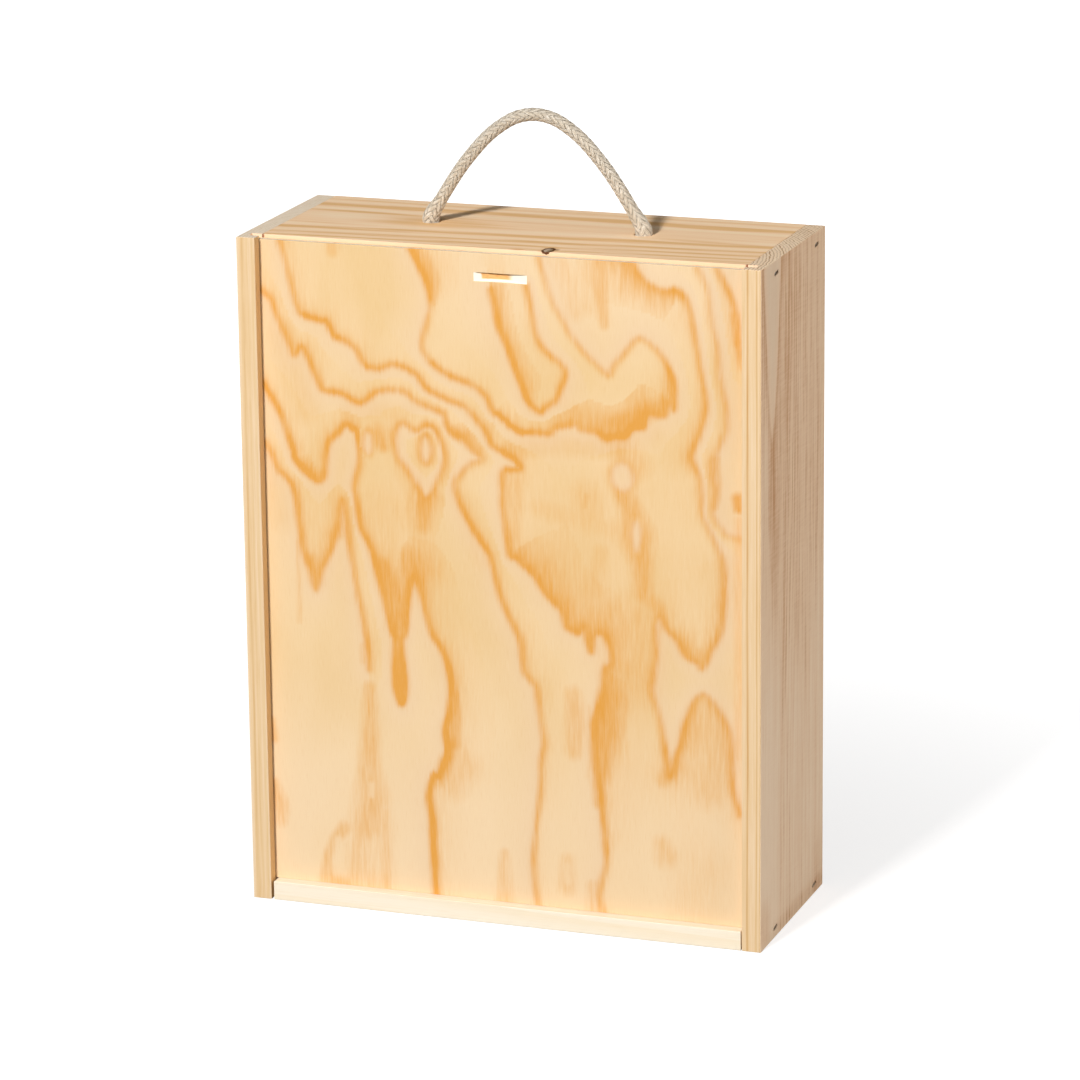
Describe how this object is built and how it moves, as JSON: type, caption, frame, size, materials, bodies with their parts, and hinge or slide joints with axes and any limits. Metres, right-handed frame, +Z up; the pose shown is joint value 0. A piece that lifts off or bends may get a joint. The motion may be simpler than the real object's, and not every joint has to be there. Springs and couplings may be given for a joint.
{
  "type": "wooden wine box",
  "caption": "Upright pine wine box with bottle bays, a plywood lid that slides up out of grooves, and a rope carrying handle.",
  "frame": {"origin": "middle of the underside, on the surface that the box stands on", "axes": "+X to the right seen from the front, +Y from the lid to the back panel, +Z up along the lid's travel"},
  "size_m": [0.275, 0.11, 0.4108],
  "materials": {
    "pine_side": "planed bare pine, grain upright",
    "pine_board": "planed bare pine, grain across the box",
    "pine_rail": "pale planed pine, grain across the box",
    "plywood": "bare rotary-cut pine plywood, sanded",
    "rope": "braided natural fibre",
    "staple_wire": "dull galvanised wire"
  },
  "bodies": {
    "carcass": {"side_left": "pine_side", "side_right": "pine_side", "top_board": "pine_board", "bottom_board": "pine_board", "lid_stop_rail": "pine_rail", "back_panel": "plywood", "divider_left": "plywood", "divider_right": "plywood", "rope_leg_left": "rope", "rope_leg_right": "rope", "rope_knot_left": "rope", "rope_knot_right": "rope", "staples_top_left": "staple_wire", "staples_top_right": "staple_wire", "staples_bottom_left": "staple_wire", "staples_bottom_right": "staple_wire"},
    "lid": {"sliding_lid": "plywood"},
    "handle": {"rope_arch": "rope"}
  },
  "joints": [
    {"name": "lid_slide", "type": "slide", "parent": "carcass", "child": "lid", "axis": [0, 0, 1], "range_m": [0, 0.34]},
    {"name": "handle_swing", "type": "hinge", "parent": "carcass", "child": "handle", "pos_m": [0, 0.00825, 0.353], "axis": [-1, 0, 0], "range_deg": [-55, 80], "stiffness_Nm_per_rad": 0.02}
  ]
}
